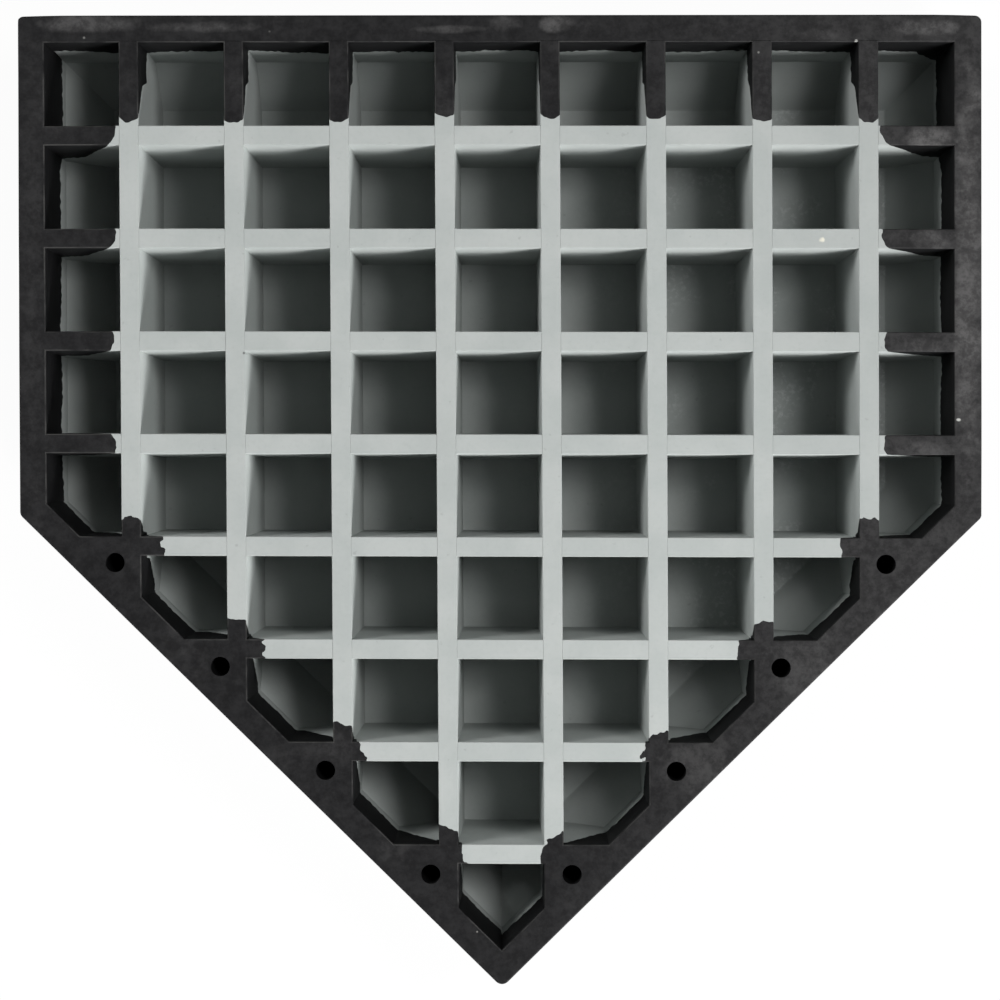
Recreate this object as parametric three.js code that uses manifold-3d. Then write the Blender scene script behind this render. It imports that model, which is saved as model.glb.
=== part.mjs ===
// A baseball home plate lying face down, its waffle underside up.
// White playing face, grey slab and crossed ribs behind it, black bevelled border bonded round them.
// Millimetres. +Z points out of the waffle, +Y towards the straight front edge, the point at -Y.

import * as THREE from 'three';
import { mergeVertices } from 'three/addons/utils/BufferGeometryUtils.js';
import Module from 'manifold-3d';

const wasm = await Module();
wasm.setup();

// The white face
const faceWidth = 431.8;
const faceSide = 217;
const faceDepth = 429.5;
const faceThickness = 4;

// The plate as a whole
const plateThickness = 76.2;
const bevelWidth = 19.05;
const bevelHeight = 16;
const bevelLand = 1;
const frontCornerRadius = 3;
const shoulderRadius = 4;
const pointRadius = 4.2;
const footCornerRadius = 1;

// The waffle
const slabThickness = 8.7;
const ribWidth = 9.5;
const longRibCount = 8;
const crossRibCount = 8;
const sidePocketWidth = 36.75;
const pointPocketLength = 42.4;
const draftDegrees = 1.5;

// The slab's slope in the border's pockets: its top down from the rim, its foot in from the outer edge
const slopeDepth = 44.5;
const slopeReach = 35.7;

// The black border, and how far in from the outer edge it runs along the ribs
const rimWidth = 13.2;
const frontReach = 50;
const sideReach = 47;
const pointReach = 36;
const tongueDepth = 32;
const footReach = 1.5;

// The blind peg holes in the solid corners along the two point edges
const pegDiameter = 9.5;
const pegDepth = 50.8;
const pegOffset = 8.1;

// Bond lines between separate pieces
const bondGap = 0.3;

// How far cutters run past a face, and how finely round shapes are drawn
const overcut = 2;
const cornerSteps = 6;
const pegSides = 24;

// Heights and slopes that follow
const slabTop = faceThickness + slabThickness;
const pocketDepth = plateThickness - slabTop;
const lapHeight = slabTop + pocketDepth / 2;
const tongueFoot = plateThickness - tongueDepth;
const slopeTop = plateThickness - slopeDepth;
const cutTop = plateThickness + overcut;
const draft = Math.tan(THREE.MathUtils.degToRad(draftDegrees));
const farAway = faceWidth + faceDepth;

// Solids from geometry, and back

function solid(geometry) {
  const bare = geometry.clone();
  bare.deleteAttribute('normal');
  bare.deleteAttribute('uv');
  const merged = mergeVertices(bare);
  const vertProperties = new Float32Array(merged.attributes.position.array);
  const triVerts = new Uint32Array(merged.index.array);
  return new wasm.Manifold(new wasm.Mesh({ numProp: 3, vertProperties, triVerts }));
}

function geometryOf(body) {
  const { vertProperties, triVerts } = body.getMesh();
  const geometry = new THREE.BufferGeometry();
  geometry.setAttribute('position', new THREE.BufferAttribute(vertProperties, 3));
  geometry.setIndex(new THREE.BufferAttribute(triVerts, 1));
  geometry.computeVertexNormals();
  return geometry;
}

function prism(points, low, high) {
  const options = { depth: high - low, bevelEnabled: false };
  return solid(new THREE.ExtrudeGeometry(new THREE.Shape(points), options).translate(0, 0, low));
}

// A closed skin over convex rings of equal point count, one above the other
function loft(rings, heights) {
  const count = rings[0].length;
  const positions = rings.flatMap((ring, level) => ring.flatMap((p) => [p.x, p.y, heights[level]]));
  const faces = [];
  for (let level = 0; level + 1 < rings.length; level++) {
    for (let k = 0; k < count; k++) {
      const a = level * count + k;
      const b = level * count + ((k + 1) % count);
      faces.push(a, b, b + count, a, b + count, a + count);
    }
  }
  const top = (rings.length - 1) * count;
  for (let k = 1; k + 1 < count; k++) {
    faces.push(0, k + 1, k, top, top + k, top + k + 1);
  }
  const geometry = new THREE.BufferGeometry();
  geometry.setAttribute('position', new THREE.Float32BufferAttribute(positions, 3));
  geometry.setIndex(faces);
  return solid(geometry);
}

function joined(bodies) {
  return bodies.reduce((sum, body) => sum.add(body));
}

// The item of a closed ring that lies a step away from another
function around(list, k, step) {
  return list[(k + step + list.length) % list.length];
}

// Rubber compounds

const whiteRubber = new THREE.MeshStandardMaterial({ color: 0xe9e9e4, roughness: 0.6, metalness: 0 });
const greyRubber = new THREE.MeshStandardMaterial({ color: 0xbec2c0, roughness: 0.62, metalness: 0 });
const blackRubber = new THREE.MeshStandardMaterial({ color: 0x2a2a2b, roughness: 0.55, metalness: 0 });

function piece(name, body, material) {
  const mesh = new THREE.Mesh(geometryOf(body), material.clone());
  mesh.name = name;
  return mesh;
}

// The five-sided outline and rings inside it

// Counter-clockwise from the front left corner, the face's front edge on y = 0
const faceCorners = [
  new THREE.Vector2(-faceWidth / 2, 0),
  new THREE.Vector2(-faceWidth / 2, -faceSide),
  new THREE.Vector2(0, -faceDepth),
  new THREE.Vector2(faceWidth / 2, -faceSide),
  new THREE.Vector2(faceWidth / 2, 0),
];

function cross(a, b) {
  return a.x * b.y - a.y * b.x;
}

function meet(lineA, lineB) {
  const between = lineB.start.clone().sub(lineA.start);
  const along = cross(between, lineB.way) / cross(lineA.way, lineB.way);
  return lineA.start.clone().addScaledVector(lineA.way, along);
}

// The outline moved in from the outer edge by one distance, or by one for each kind of edge
function outlineRing(reach) {
  const { side = reach, point = reach, front = reach } = reach;
  const lines = [side, point, point, side, front].map((distance, k) => {
    const way = around(faceCorners, k, 1).clone().sub(faceCorners[k]).normalize();
    const inward = new THREE.Vector2(-way.y, way.x);
    return { start: faceCorners[k].clone().addScaledVector(inward, distance - bevelWidth), way };
  });
  return lines.map((line, k) => meet(around(lines, k, -1), line));
}

function rounded(corners, radii) {
  return corners.flatMap((corner, k) => {
    const before = around(corners, k, -1).clone().sub(corner).normalize();
    const after = around(corners, k, 1).clone().sub(corner).normalize();
    const half = Math.acos(before.dot(after)) / 2;
    const inward = before.clone().add(after).normalize();
    const centre = corner.clone().addScaledVector(inward, radii[k] / Math.sin(half));
    const sweep = Math.PI - 2 * half;
    const spoke = inward.clone().multiplyScalar(-radii[k]);
    return Array.from({ length: cornerSteps + 1 }, (_, step) => {
      const turn = sweep * (step / cornerSteps - 0.5);
      return spoke.clone().rotateAround(new THREE.Vector2(), turn).add(centre);
    });
  });
}

// The origin goes to the middle of the plate's box
const cornerRadii = [frontCornerRadius, shoulderRadius, pointRadius, shoulderRadius, frontCornerRadius];
const roundedOutline = rounded(outlineRing(0), cornerRadii);
const outlineBox = new THREE.Box2().setFromPoints(roundedOutline);
const middle = outlineBox.getCenter(new THREE.Vector2());

function ring(reach) {
  return outlineRing(reach).map((p) => p.sub(middle));
}

// Where the border's inner wall stands at a height, and where the bond on the ribs does
function wallReach(height) {
  return rimWidth + (plateThickness - height) * draft;
}

function bondRing(height, gap) {
  const foot = wallReach(tongueFoot) + footReach;
  const share = (height - tongueFoot) / tongueDepth;
  const along = (tip) => (share < 0 ? wallReach(height) + footReach : foot + (tip - foot) * share) + gap;
  return ring({ side: along(sideReach), point: pointReach + gap, front: along(frontReach) });
}

function insideBond(gap) {
  const heights = [slabTop, tongueFoot, cutTop];
  return loft(heights.map((height) => bondRing(height, gap)), heights);
}

// The grid: long ribs evenly spaced between the side pockets, cross ribs from the front to the point pocket

const rim = ring(rimWidth);
const [frontLeft, , innerPoint, , frontRight] = rim;
const outermostRib = frontRight.x - sidePocketWidth - ribWidth / 2;
const columnPitch = (2 * outermostRib) / (longRibCount - 1);
const rowPitch = (frontLeft.y - innerPoint.y - pointPocketLength) / crossRibCount;
const firstCrossRib = frontLeft.y + ribWidth / 2 - rowPitch;
const longRibs = Array.from({ length: longRibCount }, (_, k) => k * columnPitch - outermostRib);
const crossRibs = Array.from({ length: crossRibCount }, (_, k) => firstCrossRib - k * rowPitch);
const columns = [-outermostRib, ...longRibs.map((x) => x + columnPitch)].map((x) => x - columnPitch / 2);
const rows = [firstCrossRib, ...crossRibs.map((y) => y - rowPitch)].map((y) => y + rowPitch / 2);

function halfRib(height) {
  return ribWidth / 2 + (plateThickness - height) * draft;
}

function rectangle(west, east, south, north) {
  const corners = [[west, south], [east, south], [east, north], [west, north]];
  return corners.map(([x, y]) => new THREE.Vector2(x, y));
}

// A bar of rib section between two heights, grown sideways by a clearance
function longBar(x, low, high, clearance = 0) {
  const rings = [low, high].map((height) => {
    const half = halfRib(height) + clearance;
    return rectangle(x - half, x + half, -farAway, farAway);
  });
  return loft(rings, [low, high]);
}

function crossBar(y, low, high, clearance = 0) {
  const rings = [low, high].map((height) => {
    const half = halfRib(height) + clearance;
    return rectangle(-farAway, farAway, y - half, y + half);
  });
  return loft(rings, [low, high]);
}

// A cell holds a pocket where its centre lies inside the border's rim
function holdsPocket(x, y) {
  return rim.every((corner, k) => {
    const edge = around(rim, k, 1).clone().sub(corner);
    return cross(edge, new THREE.Vector2(x, y).sub(corner)) > 0;
  });
}

const cells = columns.flatMap((x, column) => rows.map((y, row) => ({ x, y, column, row })));
const pockets = cells.filter(({ x, y }) => holdsPocket(x, y));

// A pocket lies along the border where one of the four cells beside it holds none
function liesAlongBorder({ x, y }) {
  const beside = [[x - columnPitch, y], [x + columnPitch, y], [x, y - rowPitch], [x, y + rowPitch]];
  return !beside.every(([besideX, besideY]) => holdsPocket(besideX, besideY));
}

// One pocket's space from a height up, open towards the border where no rib bounds it
function pocketSpace({ column, row }, low, clearance) {
  const rings = [low, cutTop].map((height) => {
    const half = halfRib(height) + clearance;
    const west = column > 0 ? longRibs[column - 1] + half : -farAway;
    const east = column < longRibs.length ? longRibs[column] - half : farAway;
    const north = row > 0 ? crossRibs[row - 1] - half : farAway;
    const south = row < crossRibs.length ? crossRibs[row] + half : -farAway;
    return rectangle(west, east, south, north);
  });
  return loft(rings, [low, cutTop]);
}

// The space of many pockets inside the border's wall, drawn in by a clearance
function pocketSpaces(chosen, low, clearance = 0) {
  const heights = [low, cutTop];
  const cavity = loft(heights.map((height) => ring(wallReach(height) + clearance)), heights);
  return joined(chosen.map((pocket) => pocketSpace(pocket, low, clearance))).intersect(cavity);
}

// A peg hole stands in the one solid cell beside a crossing whose other three cells are pockets
function pegCentres() {
  const toCells = rectangle(-1, 1, -1, 1);
  const halfCell = new THREE.Vector2(columnPitch / 2, rowPitch / 2);
  const crossings = longRibs.flatMap((x) => crossRibs.map((y) => new THREE.Vector2(x, y)));
  return crossings.flatMap((crossing) => {
    const filled = toCells.filter((way) => {
      const cell = way.clone().multiply(halfCell).add(crossing);
      return !holdsPocket(cell.x, cell.y);
    });
    return filled.length === 1 ? [crossing.clone().addScaledVector(filled[0], pegOffset)] : [];
  });
}

function pegCutters() {
  const length = pegDepth + overcut;
  const bore = new THREE.CylinderGeometry(pegDiameter / 2, pegDiameter / 2, length, pegSides);
  bore.rotateX(Math.PI / 2).translate(0, 0, cutTop - length / 2);
  return pegCentres().map((p) => solid(bore.clone().translate(p.x, p.y, 0)));
}

// The border: one black ring, cut at its seams into five strips

function borderStock() {
  const foot = rounded(outlineRing(bevelWidth - bevelLand), cornerRadii.map(() => footCornerRadius));
  const footRing = foot.map((p) => p.sub(middle));
  const outerRing = roundedOutline.map((p) => p.clone().sub(middle));
  const body = loft([footRing, outerRing, outerRing], [0, bevelHeight, plateThickness]);
  const seat = prism(ring(bevelWidth - bondGap / 2), -overcut, slabTop + bondGap);
  const cutters = [seat, pocketSpaces(pockets, slabTop), insideBond(0), ...pegCutters()];
  return cutters.reduce((stock, cutter) => stock.subtract(cutter), body);
}

function seamCutter(from, to) {
  const way = to.clone().sub(from);
  const wall = new THREE.BoxGeometry(way.length(), bondGap, plateThickness + 2 * overcut);
  wall.rotateZ(way.angle());
  wall.translate((from.x + to.x) / 2, (from.y + to.y) / 2, plateThickness / 2);
  return solid(wall);
}

function mirrored(points) {
  return points.map((p) => new THREE.Vector2(-p.x, p.y)).reverse();
}

// The side strips run through to both outer edges, and the other three butt against them
function borderStrips() {
  const [frontCorner, shoulder, point] = ring(bevelWidth + bondGap);
  const frontEnd = new THREE.Vector2(frontCorner.x, farAway);
  const pointEnd = new THREE.Vector2(shoulder.x, -farAway);
  const axisEnd = new THREE.Vector2(0, -farAway);
  const leftSeams = [[frontEnd, frontCorner], [pointEnd, shoulder]];
  const seams = [...leftSeams, ...leftSeams.map(mirrored), [axisEnd, point]];
  const stock = borderStock().subtract(joined(seams.map(([from, to]) => seamCutter(from, to))));
  const frontTurn = new THREE.Vector2(longRibs[0], crossRibs[0]);
  const shoulderTurn = ring(longRibs[0] - outlineBox.min.x)[1];
  const axisTurn = new THREE.Vector2(0, shoulderTurn.y);
  const [southWest, , , northWest] = rectangle(-farAway, farAway, -farAway, farAway);
  const left = [northWest, southWest, pointEnd, shoulder, shoulderTurn, frontTurn, frontCorner, frontEnd];
  const leftPoint = [pointEnd, axisEnd, axisTurn, shoulderTurn, shoulder];
  const front = [frontEnd, frontCorner, frontTurn, ...mirrored([frontEnd, frontCorner, frontTurn])];
  const regions = {
    front_border: front,
    left_border: left,
    right_border: mirrored(left),
    left_point_border: leftPoint,
    right_point_border: mirrored(leftPoint),
  };
  return Object.entries(regions).map(([name, points]) => {
    const strip = stock.intersect(prism(points, -overcut, cutTop));
    return piece(name, strip, blackRubber);
  });
}

// The ribs: the long ones run over the cross ones in half-depth laps

function waffleRibs() {
  const space = insideBond(bondGap);
  const lapLow = lapHeight - bondGap / 2;
  const lapHigh = lapHeight + bondGap / 2;
  const longCuts = joined(longRibs.map((x) => longBar(x, lapLow, cutTop, bondGap)));
  const crossCuts = joined(crossRibs.map((y) => crossBar(y, slabTop - overcut, lapHigh, bondGap)));
  const long = longRibs.map((x, k) => {
    const bar = longBar(x, slabTop, plateThickness).intersect(space);
    return piece(`long_rib_${k + 1}`, bar.subtract(crossCuts), greyRubber);
  });
  const across = crossRibs.map((y, k) => {
    const bar = crossBar(y, slabTop, plateThickness).intersect(space);
    return piece(`cross_rib_${k + 1}`, bar.subtract(longCuts), greyRubber);
  });
  return [...long, ...across];
}

// The face and the slab on it share one outline

const faceOutline = ring(bevelWidth + bondGap / 2);

function playingFace() {
  return piece('playing_face', prism(faceOutline, 0, faceThickness), whiteRubber);
}

// The slope rises from the slab to the border's wall, out over the slab's edge, and is open where ribs stand
function slabSlope() {
  const overhang = prism(rim, slabTop + bondGap, slopeTop);
  const stock = prism(faceOutline, faceThickness, slopeTop).add(overhang);
  const run = (slopeReach - wallReach(slopeTop)) / (slopeTop - slabTop);
  const heights = [slabTop, slopeTop];
  const above = loft(heights.map((height) => ring(slopeReach - (height - slabTop) * run)), heights);
  const under = prism(ring(slopeReach), faceThickness, slabTop);
  const spaces = pocketSpaces(pockets.filter(liesAlongBorder), faceThickness, bondGap);
  return stock.intersect(spaces).subtract(above).subtract(under);
}

function coreSlab() {
  return piece('core_slab', prism(faceOutline, faceThickness, slabTop).add(slabSlope()), greyRubber);
}

// The plate: face, waffle and border

const waffle = new THREE.Group();
waffle.add(coreSlab(), ...waffleRibs());

const border = new THREE.Group();
border.add(...borderStrips());

const homePlate = new THREE.Group();
homePlate.add(playingFace(), waffle, border);

export default homePlate;
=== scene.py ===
"""Looks of a baseball home plate that lies face down, its waffle underside up.

The plate is three rubbers bonded in one press: a white playing face, a grey slab with crossed ribs,
and a black border that runs out along the rib ends in ragged flow lines. Metres, in the CAD frame:
+Z points out of the waffle, +Y to the straight front edge, and the point lies at -Y.
"""

import logging
import math
from collections.abc import Callable, Iterable, Sequence
from dataclasses import dataclass, field
from enum import Enum
from typing import ClassVar

import bpy
import numpy as np
from mathutils import Matrix, Vector, noise


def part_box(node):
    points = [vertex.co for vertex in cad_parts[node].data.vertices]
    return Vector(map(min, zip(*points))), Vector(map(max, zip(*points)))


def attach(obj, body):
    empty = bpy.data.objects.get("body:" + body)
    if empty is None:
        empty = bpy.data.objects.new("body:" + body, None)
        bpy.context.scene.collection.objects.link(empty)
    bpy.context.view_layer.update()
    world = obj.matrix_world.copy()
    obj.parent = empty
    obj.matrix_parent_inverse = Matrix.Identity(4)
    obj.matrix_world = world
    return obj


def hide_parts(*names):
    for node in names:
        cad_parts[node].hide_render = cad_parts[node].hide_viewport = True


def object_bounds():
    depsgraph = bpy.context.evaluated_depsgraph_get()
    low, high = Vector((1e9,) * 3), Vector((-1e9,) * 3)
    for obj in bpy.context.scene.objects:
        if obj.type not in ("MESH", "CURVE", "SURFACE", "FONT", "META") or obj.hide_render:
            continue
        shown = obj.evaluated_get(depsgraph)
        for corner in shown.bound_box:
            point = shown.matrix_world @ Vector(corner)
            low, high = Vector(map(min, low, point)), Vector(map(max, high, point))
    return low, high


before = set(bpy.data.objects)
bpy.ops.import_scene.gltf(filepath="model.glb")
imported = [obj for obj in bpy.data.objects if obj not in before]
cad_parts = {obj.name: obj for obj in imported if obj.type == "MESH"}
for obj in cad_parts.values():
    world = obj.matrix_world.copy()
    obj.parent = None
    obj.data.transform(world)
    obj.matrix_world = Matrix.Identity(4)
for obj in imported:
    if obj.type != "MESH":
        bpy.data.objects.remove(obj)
CAD_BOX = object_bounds()

MM = 0.001
BODY = "root"
LOG = logging.getLogger("home_plate")

Ring = np.ndarray
Span = tuple[float, float]
Pairs = tuple[Span, ...]
Colour = tuple[float, float, float, float]
Socket = bpy.types.NodeSocket
Inputs = dict[str | int, object]

# The top of the grey slab, which is the floor of the pockets
FLOOR = 12.7 * MM
# What a share rises or falls between
RISE: Span = (0.0, 1.0)
FADE: Span = (1.0, 0.0)


class Edge(Enum):
    """The plate's five edges, counter-clockwise from the front left corner."""

    LEFT = 0
    LEFT_POINT = 1
    RIGHT_POINT = 2
    RIGHT = 3
    FRONT = 4


class Cut(Enum):
    """How one solid works on another."""

    JOIN = "UNION"
    REMOVE = "DIFFERENCE"
    KEEP = "INTERSECT"


class Way(Enum):
    """The two directions that ribs run in."""

    LONG = "long"
    CROSS = "cross"


def linear(red: int, green: int, blue: int) -> Colour:
    """A display colour, 0 to 255, as the linear colour that Blender's sockets take."""
    shares = [c / 255 for c in (red, green, blue)]
    made = [s / 12.92 if s <= 0.04045 else ((s + 0.055) / 1.055) ** 2.4 for s in shares]
    return (made[0], made[1], made[2], 1.0)


# Solids


def _skin_faces(count: int, rings: int) -> list[list[int]]:
    """The faces of a closed skin over rings of points.

    Args:
        count: How many points each ring has.
        rings: How many rings there are, numbered from the lowest.

    Returns:
        The lower cap, the sides and the upper cap, as point numbers.
    """
    top = (rings - 1) * count
    faces = [list(range(count))[::-1]]
    for low in range(0, top, count):
        for k in range(count):
            after = (k + 1) % count
            faces.append([low + k, low + after, low + count + after, low + count + k])
    faces.append(list(range(top, top + count)))
    return faces


def _vectors(items: bpy.types.bpy_prop_collection, name: str) -> np.ndarray:
    """A three-part property of every item, one row each."""
    values = np.zeros(len(items) * 3)
    items.foreach_get(name, values)
    return values.reshape(-1, 3)


class Solid:
    """A closed mesh that others are joined to or cut from."""

    def __init__(self, mesh: bpy.types.Mesh) -> None:
        """Keeps the mesh, which no object shows yet."""
        self.mesh = mesh

    @classmethod
    def from_faces(cls, points: Iterable[Sequence[float]], faces: Iterable[Sequence[int]]) -> "Solid":
        """A solid from its corner points and its faces, which point outwards.

        Args:
            points: Corner points in metres.
            faces: Corner numbers of each face, counter-clockwise from outside.

        Returns:
            The solid.
        """
        mesh = bpy.data.meshes.new("solid")
        mesh.from_pydata([tuple(map(float, p)) for p in points], [], [tuple(map(int, f)) for f in faces])
        mesh.update()
        return cls(mesh)

    @classmethod
    def loft(cls, rings: Sequence[Ring], heights: Sequence[float]) -> "Solid":
        """A closed skin over rings of equal point count, one above the other.

        Args:
            rings: Counter-clockwise rings of plan points, lowest first.
            heights: The height of each ring.

        Returns:
            The solid.
        """
        points = [(x, y, z) for ring, z in zip(rings, heights) for x, y in ring]
        return cls.from_faces(points, _skin_faces(len(rings[0]), len(rings)))

    @classmethod
    def prism(cls, ring: Ring, low: float, high: float) -> "Solid":
        """An upright solid over one ring."""
        return cls.loft([ring, ring], [low, high])

    @classmethod
    def blocks(cls, rings: Iterable[tuple[Ring, Ring]], low: float, high: float) -> "Solid":
        """Four-sided blocks that don't touch each other.

        Args:
            rings: The lower and the upper ring of each block, counter-clockwise.
            low: The height of the lower rings.
            high: The height of the upper rings.

        Returns:
            All the blocks as one solid.
        """
        points: list[tuple[float, float, float]] = []
        faces: list[list[int]] = []
        sides = [[k, (k + 1) % 4, 4 + (k + 1) % 4, 4 + k] for k in range(4)]
        for lower, upper in rings:
            start = len(points)
            points += [(x, y, low) for x, y in lower] + [(x, y, high) for x, y in upper]
            faces += [[start + k for k in face] for face in ([3, 2, 1, 0], [4, 5, 6, 7], *sides)]
        return cls.from_faces(points, faces)

    def _worked(self, other: "Solid", cut: Cut) -> "Solid":
        """This solid worked on by another.

        Args:
            other: The solid that works on this one.
            cut: What it does.

        Returns:
            A new solid.
        """
        scene = bpy.context.scene
        holders = [bpy.data.objects.new("work", s.mesh) for s in (self, other)]
        for holder in holders:
            scene.collection.objects.link(holder)
        worked = holders[0].modifiers.new("cut", "BOOLEAN")
        worked.solver = "MANIFOLD"
        worked.operation = cut.value
        worked.object = holders[1]
        ready = holders[0].evaluated_get(bpy.context.evaluated_depsgraph_get())
        mesh = bpy.data.meshes.new_from_object(ready)
        for holder in holders:
            bpy.data.objects.remove(holder)
        return Solid(mesh)

    def joined(self, other: "Solid") -> "Solid":
        """This solid and another as one."""
        return self._worked(other, Cut.JOIN)

    def minus(self, other: "Solid") -> "Solid":
        """This solid without the space of another."""
        return self._worked(other, Cut.REMOVE)

    def within(self, other: "Solid") -> "Solid":
        """The part of this solid that lies inside another."""
        return self._worked(other, Cut.KEEP)

    def sorted_parts(self, key: Callable[[np.ndarray], int]) -> dict[int, "Solid"]:
        """The solid's loose parts, gathered by a key of their middle.

        Args:
            key: Gives a number for the middle of a loose part.

        Returns:
            One solid for each number.
        """
        places = _vectors(self.mesh.vertices, "co")
        edges = np.zeros(len(self.mesh.edges) * 2, int)
        self.mesh.edges.foreach_get("vertices", edges)
        label = _loose_labels(len(places), edges.reshape(-1, 2))
        groups: dict[int, set[int]] = {}
        for part in np.unique(label):
            middle = (places[label == part].min(0) + places[label == part].max(0)) / 2
            groups.setdefault(key(middle), set()).add(int(part))
        faces = [tuple(p.vertices) for p in self.mesh.polygons]
        made: dict[int, Solid] = {}
        for number, parts in groups.items():
            kept = [f for f in faces if int(label[f[0]]) in parts]
            used = sorted({v for f in kept for v in f})
            fresh = {v: k for k, v in enumerate(used)}
            made[number] = Solid.from_faces(places[used], [[fresh[v] for v in f] for f in kept])
        return made


def _loose_labels(count: int, edges: np.ndarray) -> np.ndarray:
    """A number for each vertex, the same over a connected part.

    Args:
        count: How many vertices there are.
        edges: Pairs of vertex numbers.

    Returns:
        The lowest vertex number of each vertex's part.
    """
    label = np.arange(count)
    while True:
        low = np.minimum(label[edges[:, 0]], label[edges[:, 1]])
        before = label.copy()
        np.minimum.at(label, edges[:, 0], low)
        np.minimum.at(label, edges[:, 1], low)
        label = label[label]
        if np.array_equal(before, label):
            return label


# Node trees


@dataclass(frozen=True)
class NoiseField:
    """A noise texture: waves to the metre, finer octaves, and how strong those are."""

    scale: float
    detail: float
    rough: float


class Nodes:
    """A node tree that is written one call a node."""

    def __init__(self, tree: bpy.types.NodeTree) -> None:
        """Starts on an empty tree."""
        self.tree = tree
        tree.nodes.clear()

    def add(self, kind: str, inputs: Inputs | None = None, **settings: object) -> bpy.types.Node:
        """One node, with its inputs set or linked.

        Args:
            kind: The node's type name.
            inputs: A value, or an output socket to link from, for each input by name or number.
            settings: The node's own properties.

        Returns:
            The node.
        """
        node = self.tree.nodes.new(kind)
        for name, value in settings.items():
            setattr(node, name, value)
        for name, value in (inputs or {}).items():
            if isinstance(value, Socket):
                self.tree.links.new(value, node.inputs[name])
            else:
                node.inputs[name].default_value = value
        return node

    def math(self, operation: str, *values: object) -> Socket:
        """A Math node's result over values or sockets."""
        return self.add("ShaderNodeMath", dict(enumerate(values)), operation=operation).outputs[0]

    def product(self, first: Socket, *others: Socket) -> Socket:
        """Several sockets multiplied."""
        for other in others:
            first = self.math("MULTIPLY", first, other)
        return first

    def noise(self, where: Socket, texture: NoiseField) -> Socket:
        """A noise texture's value at coordinates in metres, about 0.5 on average."""
        sizes = {"Scale": texture.scale, "Detail": texture.detail, "Roughness": texture.rough}
        return self.add("ShaderNodeTexNoise", {"Vector": where, **sizes}).outputs["Fac"]

    def band(self, value: Socket, span: Span, results: Span = RISE) -> Socket:
        """A value eased from one range to another.

        Args:
            value: The socket to read.
            span: Where the change starts and ends.
            results: What comes out at each end and past it.

        Returns:
            The eased socket.
        """
        ends = dict(zip(("From Min", "From Max", "To Min", "To Max"), span + results))
        eased = self.add("ShaderNodeMapRange", {"Value": value, **ends}, interpolation_type="SMOOTHSTEP")
        return eased.outputs["Result"]

    def split(self, vector: Socket) -> list[Socket]:
        """A vector's three parts."""
        return list(self.add("ShaderNodeSeparateXYZ", {0: vector}).outputs)

    def blend(self, share: Socket, first: object, second: object) -> Socket:
        """Two colours mixed by a share of the second."""
        # A Mix node has several sockets of one name, so the ones for colours go by number
        sockets = {0: share, 6: first, 7: second}
        return self.add("ShaderNodeMix", sockets, data_type="RGBA", clamp_factor=True).outputs[2]


# Finishes


@dataclass(frozen=True)
class Mark:
    """A soft oval mark at a place on the plate, in millimetres."""

    x: float
    y: float
    half_x: float
    half_y: float
    strength: float = 1.0
    fray: ClassVar[float] = 2.4
    soft_rim: ClassVar[Span] = (-0.2, 1.15)

    def share(self, nodes: Nodes, where: Socket, ragged: Socket) -> Socket:
        """How strong the mark is at a point.

        Args:
            nodes: The material's tree.
            where: Coordinates in metres.
            ragged: A noise field that frays the mark's rim.

        Returns:
            A share that falls to nothing outside the oval.
        """
        x, y, _ = nodes.split(where)
        across = nodes.math("DIVIDE", nodes.math("SUBTRACT", x, self.x * MM), self.half_x * MM)
        along = nodes.math("DIVIDE", nodes.math("SUBTRACT", y, self.y * MM), self.half_y * MM)
        away = nodes.math("ADD", nodes.math("POWER", across, 2.0), nodes.math("POWER", along, 2.0))
        frayed = nodes.math("MULTIPLY_ADD", ragged, self.fray, nodes.math("SUBTRACT", away, self.fray / 2))
        return nodes.band(frayed, self.soft_rim, (self.strength, 0.0))


@dataclass(frozen=True)
class Rubber:
    """What the three rubbers share."""

    name: str
    slot: str
    roughness: Span
    specular: float
    bump_strength: float
    bump_depth: float

    def _surface(self, nodes: Nodes, where: Socket) -> dict[str, Socket]:
        """The sockets for colour, roughness and height, which each rubber writes for itself."""
        raise NotImplementedError

    def material(self) -> bpy.types.Material:
        """The finish as a material, made once.

        Returns:
            The material.
        """
        found = bpy.data.materials.get(self.name)
        if found:
            return found
        made = bpy.data.materials.new(self.name)
        made.use_nodes = True
        nodes = Nodes(made.node_tree)
        sockets = self._surface(nodes, nodes.add("ShaderNodeTexCoord").outputs["Object"])
        relief = {"Height": sockets["height"], "Strength": self.bump_strength, "Distance": self.bump_depth}
        inputs: Inputs = {
            "Base Color": sockets["colour"],
            "Roughness": sockets["roughness"],
            "Normal": nodes.add("ShaderNodeBump", relief).outputs[0],
            "Specular IOR Level": self.specular,
        }
        shader = nodes.add("ShaderNodeBsdfPrincipled", inputs)
        nodes.add("ShaderNodeOutputMaterial", {"Surface": shader.outputs[0]})
        return made


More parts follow.
